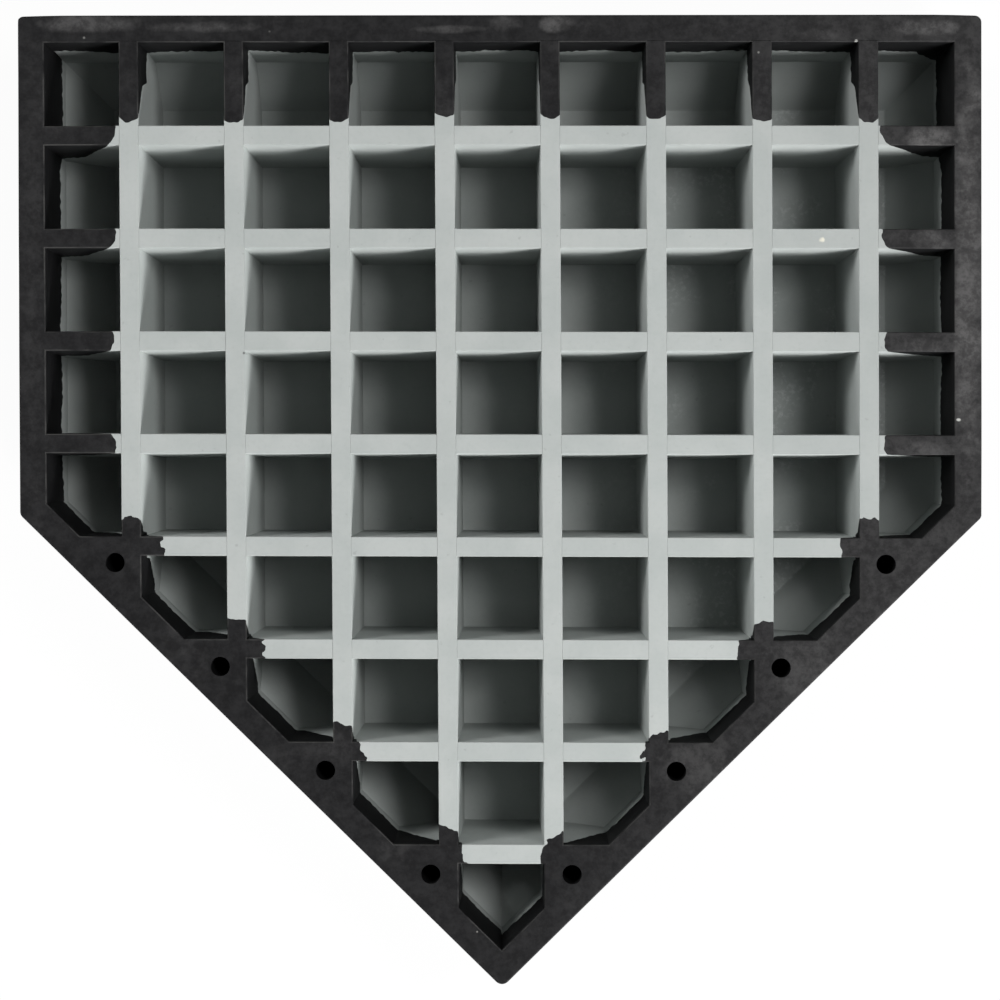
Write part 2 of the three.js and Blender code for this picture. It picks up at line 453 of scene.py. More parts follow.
@dataclass(frozen=True)
class BlackRubber(Rubber):
    """The border: satin black with dusty smudges and specks on its rim."""

    name: str = "black_border_rubber"
    slot: str = "black_rubber"
    roughness: Span = (0.56, 0.82)
    specular: float = 0.08
    bump_strength: float = 0.12
    bump_depth: float = 0.3 * MM

    wall_colours: tuple[Colour, Colour] = (linear(19, 19, 20), linear(29, 29, 30))
    rim_colours: tuple[Colour, Colour] = (linear(22, 22, 23), linear(35, 35, 36))
    dust_colour: Colour = linear(92, 91, 91)
    speck_colour: Colour = linear(180, 180, 176)
    grit_colour: Colour = linear(140, 139, 136)
    # Pale on the eased edges round the pockets: partly wear, partly a painted highlight
    worn_and_lit_edge_colour: Colour = linear(88, 88, 86)

    grain: NoiseField = NoiseField(900.0, 3.0, 0.6)
    ragged: NoiseField = NoiseField(70.0, 4.0, 0.65)
    mottle: NoiseField = NoiseField(150.0, 7.0, 0.80)
    mottle_span: Span = (0.32, 0.70)
    layering: tuple[float, float, float] = (45.0, 45.0, 700.0)
    layers: NoiseField = NoiseField(1.0, 3.0, 0.6)
    layer_span: Span = (0.35, 0.68)

    smudges: tuple[Mark, ...] = (
        Mark(-198.0, 233.0, 31.0, 5.4, 0.6),
        Mark(-144.0, 231.0, 36.0, 3.2, 0.55),
        Mark(-24.0, 229.8, 24.0, 2.2, 0.5),
        Mark(3.0, 232.5, 9.0, 5.2, 0.45),
        Mark(28.0, 232.5, 10.0, 5.0, 0.75),
        Mark(154.0, 227.0, 26.0, 4.0, 0.4),
        Mark(205.0, 230.5, 24.0, 5.2, 0.8),
        Mark(211.0, 176.5, 19.0, 6.5, 1.0),
        Mark(208.0, 127.0, 20.0, 6.0, 0.75),
        Mark(209.0, 75.5, 20.0, 6.0, 0.5),
        Mark(208.0, 24.8, 20.0, 6.0, 0.55),
        Mark(228.5, 110.0, 10.5, 125.0, 0.9),
        Mark(-229.0, 90.0, 9.0, 170.0, 0.14),
        Mark(150.0, -78.0, 26.0, 26.0, 0.4),
        Mark(96.0, -128.0, 24.0, 24.0, 0.35),
    )
    specks: tuple[Mark, ...] = (
        Mark(173.3, 223.8, 1.0, 1.0),
        Mark(125.8, 218.4, 0.7, 0.7, 0.4),
        Mark(-202.7, 225.8, 0.7, 0.7, 0.3),
        Mark(-112.3, 228.7, 0.8, 0.7, 0.2),
        Mark(223.6, 39.6, 1.2, 0.8),
    )
    dust_depth: float = 2.2 * MM
    drift: NoiseField = NoiseField(28.0, 4.0, 0.62)
    drift_span: Span = (0.45, 0.80)
    drift_dust: Span = (0.0, 0.24)
    right_run: Span = (0.0, 235.0 * MM)
    right_dust: Span = (0.05, 0.26)
    mottled_dust: Span = (0.4, 1.0)

    grit_scale: float = 95.0
    grit_chance: float = 0.14
    grit_span: Span = (0.02, 0.06)
    grit_share: Span = (0.7, 0.0)

    # The pale eased edges, partly wear and partly a painted highlight, and how they vary
    edge_attribute: str = "edge_wear_and_highlight"
    patches: NoiseField = NoiseField(60.0, 3.0, 0.6)
    patch_span: Span = (0.36, 0.62)
    patch_share: Span = (0.0, 0.4)
    wear_and_highlight_run: Span = (-100.0 * MM, 200.0 * MM)
    wear_and_highlight_share: Span = (1.0, 0.25)

    def _surface(self, nodes: Nodes, where: Socket) -> dict[str, Socket]:
        """Black with drifting dust, smudges, specks, pale edges that are partly wear and partly a painted
        highlight, and a moulded grain.
        """
        ragged = nodes.noise(where, self.ragged)
        mottle = nodes.band(nodes.noise(where, self.mottle), self.mottle_span)
        layers = nodes.add("ShaderNodeMapping", {"Vector": where, "Scale": self.layering}).outputs[0]
        streaks = nodes.band(nodes.noise(layers, self.layers), self.layer_span)
        x, _, z = nodes.split(where)
        rim = nodes.band(z, (CAD_BOX[1].z - self.dust_depth, CAD_BOX[1].z))
        dust = nodes.band(nodes.noise(where, self.drift), self.drift_span, self.drift_dust)
        for smudge in self.smudges:
            dust = nodes.math("MAXIMUM", dust, smudge.share(nodes, where, ragged))
        dust = nodes.math("MAXIMUM", dust, nodes.band(x, self.right_run, self.right_dust))
        dust = nodes.product(dust, nodes.band(mottle, RISE, self.mottled_dust), rim)
        wall_colour = nodes.blend(streaks, *self.wall_colours)
        rim_colour = nodes.blend(mottle, *self.rim_colours)
        colour = nodes.blend(rim, wall_colour, rim_colour)
        colour = nodes.blend(dust, colour, self.dust_colour)
        for speck in self.specks:
            share = nodes.product(speck.share(nodes, where, ragged), rim)
            colour = nodes.blend(share, colour, self.speck_colour)
        colour = nodes.blend(self._grit(nodes, where), colour, self.grit_colour)
        colour = nodes.blend(self._wear_and_highlight(nodes, where, x), colour, self.worn_and_lit_edge_colour)
        roughness = nodes.band(dust, RISE, self.roughness)
        return {"colour": colour, "roughness": roughness, "height": nodes.noise(where, self.grain)}

    def _grit(self, nodes: Nodes, where: Socket) -> Socket:
        """How strong the scattered pale grit is at a point."""
        cells = nodes.add("ShaderNodeTexVoronoi", {"Vector": where, "Scale": self.grit_scale})
        chosen = nodes.math("GREATER_THAN", cells.outputs["Color"], 1 - self.grit_chance)
        return nodes.product(nodes.band(cells.outputs["Distance"], self.grit_span, self.grit_share), chosen)

    def _wear_and_highlight(self, nodes: Nodes, where: Socket, x: Socket) -> Socket:
        """How pale the marked edges are at a point: partly wear, partly a painted highlight."""
        edges = nodes.add("ShaderNodeAttribute", attribute_name=self.edge_attribute).outputs["Fac"]
        patchy = nodes.band(nodes.noise(where, self.patches), self.patch_span, self.patch_share)
        return nodes.product(edges, patchy, nodes.band(x, self.wear_and_highlight_run, self.wear_and_highlight_share))


@dataclass(frozen=True)
class GreyRubber(Rubber):
    """The waffle: matt pale grey with faint flow marks, painted light on the pocket walls and painted shade
    low in the pockets.
    """

    name: str = "grey_waffle_rubber"
    slot: str = "grey_rubber"
    roughness: Span = (0.61, 0.74)
    specular: float = 0.18
    bump_strength: float = 0.1
    bump_depth: float = 0.3 * MM

    colours: tuple[Colour, Colour] = (linear(168, 173, 171), linear(176, 180, 178))
    # Painted light on the pocket walls
    wall_colour: Colour = linear(198, 203, 201)
    # A darker grey, both for random clouds of tone and for painted shade
    shade_colour: Colour = linear(146, 150, 148)
    pit_colour: Colour = linear(126, 128, 126)
    # Painted glints on the floors and painted light on the tip pocket's slope
    glint_colour: Colour = linear(206, 210, 208)
    tip_light_colour: Colour = linear(220, 224, 222)
    blister_colour: Colour = linear(226, 222, 206)
    chip_colour: Colour = linear(52, 54, 53)

    drift: NoiseField = NoiseField(35.0, 4.0, 0.6)
    drift_span: Span = (0.3, 0.7)
    fine: NoiseField = NoiseField(420.0, 3.0, 0.6)
    fine_span: Span = (0.2, 0.8)
    cloud_span: Span = (0.45, 0.75)
    cloud_share: Span = (0.0, 0.12)
    pits: NoiseField = NoiseField(260.0, 2.0, 0.5)
    pit_span: Span = (0.70, 0.78)
    pit_share: Span = (0.0, 0.3)

    # Heights and runs of the painted light on the walls, and of the painted shade low in the pockets and on
    # the rim's right end
    wall_foot: Span = (24.0 * MM, 44.0 * MM)
    wall_top: Span = (75.0 * MM, 76.0 * MM)
    wall_light_run: Span = (-170.0 * MM, -40.0 * MM)
    wall_light_share: Span = (0.5, 0.3)
    low_shade: Span = (0.35, 0.0)
    lift_run: Span = (-100.0 * MM, 0.0)
    lift: Span = (0.0, 0.3)
    right_run: Span = (90.0 * MM, 190.0 * MM)
    right_shade: Span = (0.0, 0.25)

    floor_span: Span = (FLOOR, FLOOR + 1.0 * MM)
    # Painted glints on the floors, right of the middle
    painted_glint: NoiseField = NoiseField(380.0, 3.0, 0.7)
    glint_span: Span = (0.48, 0.66)
    glint_share: Span = (0.0, 0.55)
    glint_patches: NoiseField = NoiseField(45.0, 2.0, 0.5)
    glint_patch_span: Span = (0.42, 0.62)
    glint_run: Span = (20.0 * MM, 120.0 * MM)
    # Painted light on the tip pocket's right slope
    tip_slope_light: Mark = Mark(9.5, -204.5, 10.0, 9.0, 0.85)
    blister: Mark = Mark(156.8, 127.3, 1.5, 1.5, 0.9)
    chip: Mark = Mark(-125.0, 72.2, 0.8, 0.8, 0.8)

    def _surface(self, nodes: Nodes, where: Socket) -> dict[str, Socket]:
        """Grey that drifts a little, with fine pits, a blister and a dark chip, painted glints on the floors
        and painted light on the tip pocket's slope.
        """
        drift, fine = nodes.noise(where, self.drift), nodes.noise(where, self.fine)
        colour = nodes.blend(nodes.band(drift, self.drift_span), *self.colours)
        colour = nodes.blend(nodes.band(fine, self.cloud_span, self.cloud_share), colour, self.shade_colour)
        pits = nodes.band(nodes.noise(where, self.pits), self.pit_span, self.pit_share)
        colour = nodes.blend(pits, colour, self.pit_colour)
        colour = self._by_height(nodes, where, colour)
        # The tip mark is painted light; the blister and the chip are marks on the rubber
        marks = (
            (self.tip_slope_light, drift, self.tip_light_colour),
            (self.blister, fine, self.blister_colour),
            (self.chip, fine, self.chip_colour),
        )
        for mark, ragged, mark_colour in marks:
            colour = nodes.blend(mark.share(nodes, where, ragged), colour, mark_colour)
        roughness = nodes.band(fine, self.fine_span, self.roughness)
        return {"colour": colour, "roughness": roughness, "height": fine}

    def _by_height(self, nodes: Nodes, where: Socket, colour: Socket) -> Socket:
        """Paints light on the walls, shade on the lower walls, the floors and the rim's right end, and glints
        on the floors.

        Args:
            nodes: The material's tree.
            where: Coordinates in metres.
            colour: The plain grey.

        Returns:
            The changed colour.
        """
        x, _, z = nodes.split(where)
        # Painted light on the pocket walls below the rim, stronger to the left
        wall = nodes.product(nodes.band(z, self.wall_foot), nodes.band(z, self.wall_top, FADE))
        wall = nodes.product(wall, nodes.band(x, self.wall_light_run, self.wall_light_share))
        colour = nodes.blend(wall, colour, self.wall_colour)
        # Painted shade low in the pockets, less on the floors right of the middle, and on the rim's right end
        floor = nodes.band(z, self.floor_span, FADE)
        lifted = nodes.product(floor, nodes.band(x, self.lift_run, self.lift))
        low = nodes.math("SUBTRACT", nodes.band(z, self.wall_foot, self.low_shade), lifted)
        right = nodes.band(x, self.right_run, self.right_shade)
        shade = nodes.math("MULTIPLY_ADD", nodes.band(z, self.wall_top), right, low)
        colour = nodes.blend(shade, colour, self.shade_colour)
        # Painted glints on the floors, in patches, right of the middle
        painted_glint = nodes.band(nodes.noise(where, self.painted_glint), self.glint_span, self.glint_share)
        patches = nodes.band(nodes.noise(where, self.glint_patches), self.glint_patch_span)
        painted_glint = nodes.product(painted_glint, patches, floor, nodes.band(x, self.glint_run))
        return nodes.blend(painted_glint, colour, self.glint_colour)


@dataclass(frozen=True)
class WhiteRubber(Rubber):
    """The playing face: white with a fine pebble."""

    name: str = "white_face_rubber"
    slot: str = "white_rubber"
    roughness: Span = (0.5, 0.65)
    specular: float = 0.4
    bump_strength: float = 0.1
    bump_depth: float = 0.4 * MM
    colours: tuple[Colour, Colour] = (linear(236, 236, 231), linear(224, 223, 217))
    drift: NoiseField = NoiseField(22.0, 5.0, 0.65)
    drift_span: Span = (0.35, 0.75)
    pebble_scale: float = 380.0

    def _surface(self, nodes: Nodes, where: Socket) -> dict[str, Socket]:
        """White with pale scuffs over a pebbled skin."""
        drift = nodes.band(nodes.noise(where, self.drift), self.drift_span)
        colour = nodes.blend(drift, *self.colours)
        pebble = nodes.add("ShaderNodeTexVoronoi", {"Vector": where, "Scale": self.pebble_scale})
        roughness = nodes.band(drift, RISE, self.roughness)
        return {"colour": colour, "roughness": roughness, "height": pebble.outputs["Distance"]}


# Sizes that every piece follows


@dataclass(frozen=True)
class Outline:
    """The five-sided outline and rings inside it."""

    face_width: float = 431.8 * MM
    face_side: float = 217.0 * MM
    face_depth: float = 429.5 * MM
    bevel_width: float = 19.05 * MM
    bevel_height: float = 16.0 * MM
    bevel_land: float = 1.0 * MM
    corner_radii: tuple[float, ...] = (3.2 * MM, 4.0 * MM, 4.2 * MM, 4.0 * MM, 3.2 * MM)
    foot_radius: float = 1.0 * MM
    corner_steps: int = 8
    edge_steps: int = 24
    front_y: float = CAD_BOX[1].y
    rim: float = CAD_BOX[1].z

    def face_corners(self) -> Ring:
        """The white face's corners, counter-clockwise from the front left one."""
        half, front = self.face_width / 2, self.front_y - self.bevel_width
        side, tip = front - self.face_side, front - self.face_depth
        return np.array([(-half, front), (-half, side), (0.0, tip), (half, side), (half, front)])

    def directions(self) -> Ring:
        """The unit direction of each edge."""
        corners = self.face_corners()
        ways = np.roll(corners, -1, 0) - corners
        return ways / np.linalg.norm(ways, axis=1)[:, None]

    def inward(self) -> Ring:
        """The unit direction from each edge to the inside."""
        ways = self.directions()
        return np.stack([-ways[:, 1], ways[:, 0]], 1)

    def ring(self, reach: float) -> Ring:
        """The outline moved in from the outer edge.

        Args:
            reach: How far in.

        Returns:
            Its five corners.
        """
        corners, ways = self.face_corners(), self.directions()
        starts = corners + self.inward() * (reach - self.bevel_width)
        made = []
        for k in range(len(corners)):
            a, u, b, v = starts[k - 1], ways[k - 1], starts[k], ways[k]
            along = ((b[0] - a[0]) * v[1] - (b[1] - a[1]) * v[0]) / (u[0] * v[1] - u[1] * v[0])
            made.append(a + u * along)
        return np.array(made)

    def rounded(self, reach: float, radii: Sequence[float]) -> Ring:
        """A ring with round corners and points along its edges.

        Args:
            reach: How far in from the outer edge.
            radii: The radius of each corner.

        Returns:
            The ring's points, as many for any reach.
        """
        corners = self.ring(reach)
        arcs: list[np.ndarray] = []
        for k, corner in enumerate(corners):
            before = corners[k - 1] - corner
            after = corners[(k + 1) % len(corners)] - corner
            before, after = before / np.linalg.norm(before), after / np.linalg.norm(after)
            half = math.acos(float(before @ after)) / 2
            inward = (before + after) / np.linalg.norm(before + after)
            centre = corner + inward * radii[k] / math.sin(half)
            start = math.atan2(-inward[1], -inward[0]) - (math.pi / 2 - half)
            turns = start + (math.pi - 2 * half) * np.arange(self.corner_steps + 1) / self.corner_steps
            arcs.append(centre + radii[k] * np.stack([np.cos(turns), np.sin(turns)], 1))
        points: list[np.ndarray] = []
        for k, arc in enumerate(arcs):
            points.extend(arc)
            run = arcs[(k + 1) % len(arcs)][0] - arc[-1]
            points.extend(arc[-1] + run * step / self.edge_steps for step in range(1, self.edge_steps))
        return np.array(points)


@dataclass
class Waffle:
    """The rib grid: where ribs stand, and how wide they are."""

    outline: Outline
    rib_width: float = 9.5 * MM
    draft: float = math.tan(math.radians(1.5))
    rim_width: float = 13.2 * MM
    slope_depth: float = 44.5 * MM
    slope_reach: float = 35.7 * MM
    edge_radius: float = 0.3 * MM
    black_radius: float = 0.6 * MM
    edge_steps: int = 3
    count: int = 8
    floor: float = FLOOR
    over: float = 2.0 * MM
    lines: dict[Way, list[float]] = field(default_factory=dict)

    def __post_init__(self) -> None:
        """Reads where the CAD's ribs stand."""
        for way, axis in ((Way.LONG, 0), (Way.CROSS, 1)):
            boxes = [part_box(f"{way.value}_rib_{k + 1}") for k in range(self.count)]
            self.lines[way] = [(low[axis] + high[axis]) / 2 for low, high in boxes]

    def centres(self, way: Way) -> list[float]:
        """The middle line of each rib."""
        return self.lines[way]

    def half_rib(self, height: float) -> float:
        """Half a rib's width at a height."""
        return self.rib_width / 2 + (self.outline.rim - height) * self.draft

    def wall(self, height: float) -> float:
        """How far in the border's inner wall stands at a height."""
        return self.rim_width + (self.outline.rim - height) * self.draft

    def cavity(self) -> Solid:
        """The space inside the border's wall, its upper edge eased.

        Returns:
            The space, from the pocket floor to above the rim.
        """
        rim, radius = self.outline.rim, self.black_radius
        turns = [math.pi / 2 * k / self.edge_steps for k in range(self.edge_steps + 1)]
        levels = [(self.floor, self.wall(self.floor))]
        for turn in turns:
            ease = 1 - math.cos(turn), 1 - math.sin(turn)
            levels.append((rim - radius * ease[1], self.wall(rim) - radius * ease[0]))
        levels.append((rim + self.over, self.wall(rim) - radius))
        return Solid.loft([self.outline.ring(reach) for _, reach in levels], [z for z, _ in levels])

    def bars(self, way: Way, low: float, high: float) -> Solid:
        """Plain bars of rib section, as cutters.

        Args:
            way: Which ribs.
            low: Where they start.
            high: Where they end.

        Returns:
            All the bars of that direction, which don't touch each other.
        """
        far = self.outline.face_width
        rings: list[tuple[Ring, Ring]] = []
        for centre in self.centres(way):
            halves = [self.half_rib(height) for height in (low, high)]
            flats = [_rectangle(centre - half, centre + half, -far, far) for half in halves]
            if way is Way.CROSS:
                flats = [np.stack([-flat[:, 1], flat[:, 0]], 1) for flat in flats]
            rings.append((flats[0], flats[1]))
        return Solid.blocks(rings, low, high)

    def slope(self) -> Solid:
        """The slope that the floor rises in towards the border, in the pockets along it.

        Returns:
            Its blocks, which reach into the border's wall and under the floor.
        """
        low, top, far = self.floor - self.over, self.outline.rim - self.slope_depth, self.outline.face_width
        run = (self.slope_reach - self.wall(top)) / (top - self.floor)
        heights = [low, top + self.over]
        inner = [self.outline.ring(self.slope_reach - (z - self.floor) * run) for z in heights]
        above = Solid.loft(inner, heights)
        step = Solid.prism(self.outline.ring(self.rim_width / 2), low, top).minus(above)
        longs, crosses = self.centres(Way.LONG), self.centres(Way.CROSS)
        middle = self.count // 2
        rings: list[tuple[Ring, Ring]] = []
        for row in range(self.count + 1):
            edge = min(middle, self.count - row)
            for column in range(self.count + 1):
                if row > 0 and abs(column - middle) != edge:
                    continue
                flats = []
                for half in map(self.half_rib, heights):
                    west = longs[column - 1] + half if column > 0 else -far
                    east = longs[column] - half if column < self.count else far
                    north = crosses[row - 1] - half if row > 0 else far
                    south = crosses[row] + half if row < self.count else -far
                    flats.append(_rectangle(west, east, south, north))
                rings.append((flats[0], flats[1]))
        return Solid.blocks(rings, *heights).within(step)

    def pockets(self) -> Solid:
        """The open space over the floor and its slope."""
        return self.cavity().minus(self.slope())


def _rectangle(west: float, east: float, south: float, north: float) -> Ring:
    """A counter-clockwise rectangle in plan."""
    return np.array([(west, south), (east, south), (east, north), (west, north)])


def _mirrored(ring: Ring) -> Ring:
    """A ring on the other side of the middle line, still counter-clockwise."""
    return ring[::-1] * np.array((-1.0, 1.0))


def corner_cells(waffle: Waffle) -> list[tuple[float, float]]:
    """The solid corners along the left point edge, which the right ones mirror.

    Args:
        waffle: The rib grid.

    Returns:
        For each corner, the x that it lies left of and the y that it lies below.
    """
    half, middle = waffle.half_rib(waffle.outline.rim), waffle.count // 2
    longs, crosses = waffle.centres(Way.LONG), waffle.centres(Way.CROSS)
    return [(longs[k] - half, crosses[k + middle] - half) for k in range(middle)]


# Geometry Nodes


class NodeShape:
    """A Geometry Nodes tree that is built here, fed by name, and made a plain mesh."""

    def __init__(self, name: str) -> None:
        """Starts an empty tree with a geometry output."""
        self.tree = bpy.data.node_groups.new(name, "GeometryNodeTree")
        self.nodes = Nodes(self.tree)
        self.tree.interface.new_socket("Geometry", in_out="OUTPUT", socket_type="NodeSocketGeometry")
        self.entry = self.nodes.add("NodeGroupInput")
        self.values: dict[str, object] = {}

    def size(self, name: str, kind: str, value: object) -> None:
        """A named input of the tree and the value it gets."""
        self.tree.interface.new_socket(name, in_out="INPUT", socket_type=f"NodeSocket{kind}")
        self.values[name] = value

    def given(self, name: str) -> Socket:
        """The socket that carries a named input."""
        return self.entry.outputs[name]

    def repeat(self, instance: Socket, **turned: Socket) -> None:
        """Ends the tree: a row of instances, which become real and take the material.

        Args:
            instance: The shape to repeat.
            turned: A Rotation for every instance, if they are turned.
        """
        names = {"Count": "Count", "Start Location": "First", "Offset": "Step"}
        row = {socket: self.given(name) for socket, name in names.items()}
        line = self.nodes.add("GeometryNodeMeshLine", row, mode="OFFSET")
        spread = {"Points": line.outputs[0], "Instance": instance, **turned}
        instances = self.nodes.add("GeometryNodeInstanceOnPoints", spread)
        real = self.nodes.add("GeometryNodeRealizeInstances", {"Geometry": instances.outputs[0]})
        made = {"Geometry": real.outputs[0], "Material": self.given("Material")}
        dressed = self.nodes.add("GeometryNodeSetMaterial", made)
        self.nodes.add("NodeGroupOutput", {"Geometry": dressed.outputs[0]})

    def solid(self) -> Solid:
        """The tree's result as a plain solid.

        Returns:
            The solid, which no longer depends on the tree.
        """
        holder = bpy.data.objects.new("shape", bpy.data.meshes.new("shape"))
        bpy.context.scene.collection.objects.link(holder)
        modifier = holder.modifiers.new("shape", "NODES")
        modifier.node_group = self.tree
        for item in self.tree.interface.items_tree:
            if item.in_out == "INPUT" and item.name in self.values:
                modifier[item.identifier] = self.values[item.name]
        ready = holder.evaluated_get(bpy.context.evaluated_depsgraph_get())
        mesh = bpy.data.meshes.new_from_object(ready)
        holder.modifiers.remove(modifier)
        bpy.data.objects.remove(holder)
        return Solid(mesh)


@dataclass
class RibRow:
    """A row of equal ribs with eased rim edges, swept by Geometry Nodes."""

    waffle: Waffle
    way: Way
    finish: Rubber
    radius: float
    length: float = 480.0 * MM

    def solid(self) -> Solid:
        """Sweeps one rib section and repeats it over the row.

        Returns:
            The eight bars, which don't touch each other.
        """
        waffle, centres = self.waffle, self.waffle.centres(self.way)
        pitch = (centres[-1] - centres[0]) / (len(centres) - 1)
        across = Vector((1.0, 0.0, 0.0)) if self.way is Way.LONG else Vector((0.0, 1.0, 0.0))
        shape = NodeShape(f"{self.way.value}_rib_row")
        shape.size("Count", "Int", len(centres))
        shape.size("First", "Vector", across * centres[0])
        shape.size("Step", "Vector", across * pitch)
        shape.size("Half Length", "Float", self.length / 2)
        shape.size("Half Rim Width", "Float", waffle.half_rib(waffle.outline.rim))
        shape.size("Half Foot Width", "Float", waffle.half_rib(waffle.floor))
        shape.size("Rim Height", "Float", waffle.outline.rim)
        shape.size("Foot Height", "Float", waffle.floor)
        shape.size("Edge Radius", "Float", self.radius)
        shape.size("Edge Steps", "Int", waffle.edge_steps)
        shape.size("Turn", "Rotation", (0.0, 0.0, 0.0 if self.way is Way.LONG else math.pi / 2))
        shape.size("Material", "Material", self.finish.material())
        self._write(shape)
        return shape.solid()

    def _write(self, shape: NodeShape) -> None:
        """Writes the tree: a filleted section, swept, turned and repeated."""
        nodes, given = shape.nodes, shape.given

        def corner(half: str, height: str, sign: float) -> Socket:
            """One corner of the rib section."""
            x = nodes.math("MULTIPLY", given(half), sign)
            return nodes.add("ShaderNodeCombineXYZ", {"X": x, "Y": given(height)}).outputs[0]

        corners = {
            "Point 1": corner("Half Foot Width", "Foot Height", -1.0),
            "Point 2": corner("Half Foot Width", "Foot Height", 1.0),
            "Point 3": corner("Half Rim Width", "Rim Height", 1.0),
            "Point 4": corner("Half Rim Width", "Rim Height", -1.0),
        }
        section = nodes.add("GeometryNodeCurvePrimitiveQuadrilateral", corners, mode="POINTS")
        _, height, _ = nodes.split(nodes.add("GeometryNodeInputPosition").outputs[0])
        middle = nodes.math("MULTIPLY", nodes.math("ADD", given("Rim Height"), given("Foot Height")), 0.5)
        upper = nodes.math("GREATER_THAN", height, middle)
        radius = nodes.math("MULTIPLY", upper, given("Edge Radius"))
        rounding = {"Curve": section.outputs[0], "Count": given("Edge Steps"), "Radius": radius}
        eased = nodes.add("GeometryNodeFilletCurve", rounding, mode="POLY")
        reaches = [nodes.math("MULTIPLY", given("Half Length"), sign) for sign in (-1.0, 1.0)]
        start, end = [nodes.add("ShaderNodeCombineXYZ", {"Z": reach}).outputs[0] for reach in reaches]
        path = nodes.add("GeometryNodeCurvePrimitiveLine", {"Start": start, "End": end})
        swept = {"Curve": path.outputs[0], "Profile Curve": eased.outputs[0], "Fill Caps": True}
        bar = nodes.add("GeometryNodeCurveToMesh", swept)
        lying = {"Geometry": bar.outputs[0], "Rotation": (math.pi / 2, 0.0, 0.0)}
        laid = nodes.add("GeometryNodeTransform", lying)
        shape.repeat(laid.outputs[0], Rotation=given("Turn"))


@dataclass
class PegRow:
    """A row of blind peg holes along one point edge, repeated by Geometry Nodes."""

    first: Vector
    step: Vector
    finish: Rubber
    count: int = 4
    diameter: float = 9.5 * MM
    depth: float = 50.8 * MM
    over: float = 2.0 * MM
    sides: int = 48

    def solid(self) -> Solid:
        """The holes' cutters.

        Returns:
            Upright rods that reach above the rim.
        """
        shape = NodeShape("peg_hole_row")
        shape.size("Count", "Int", self.count)
        shape.size("First", "Vector", self.first + Vector((0.0, 0.0, (self.over - self.depth) / 2)))
        shape.size("Step", "Vector", self.step)
        shape.size("Radius", "Float", self.diameter / 2)
        shape.size("Depth", "Float", self.depth + self.over)
        shape.size("Sides", "Int", self.sides)
        shape.size("Material", "Material", self.finish.material())
        given = shape.given
        sizes = {"Vertices": given("Sides"), "Radius": given("Radius"), "Depth": given("Depth")}
        rod = shape.nodes.add("GeometryNodeMeshCylinder", sizes)
        shape.repeat(rod.outputs["Mesh"])
        return shape.solid()


# The bond between black and grey


@dataclass(frozen=True)
class Wave:
    """One layer of fixed noise, with its height and its length in millimetres."""

    height: float
    length: float
    layer: int


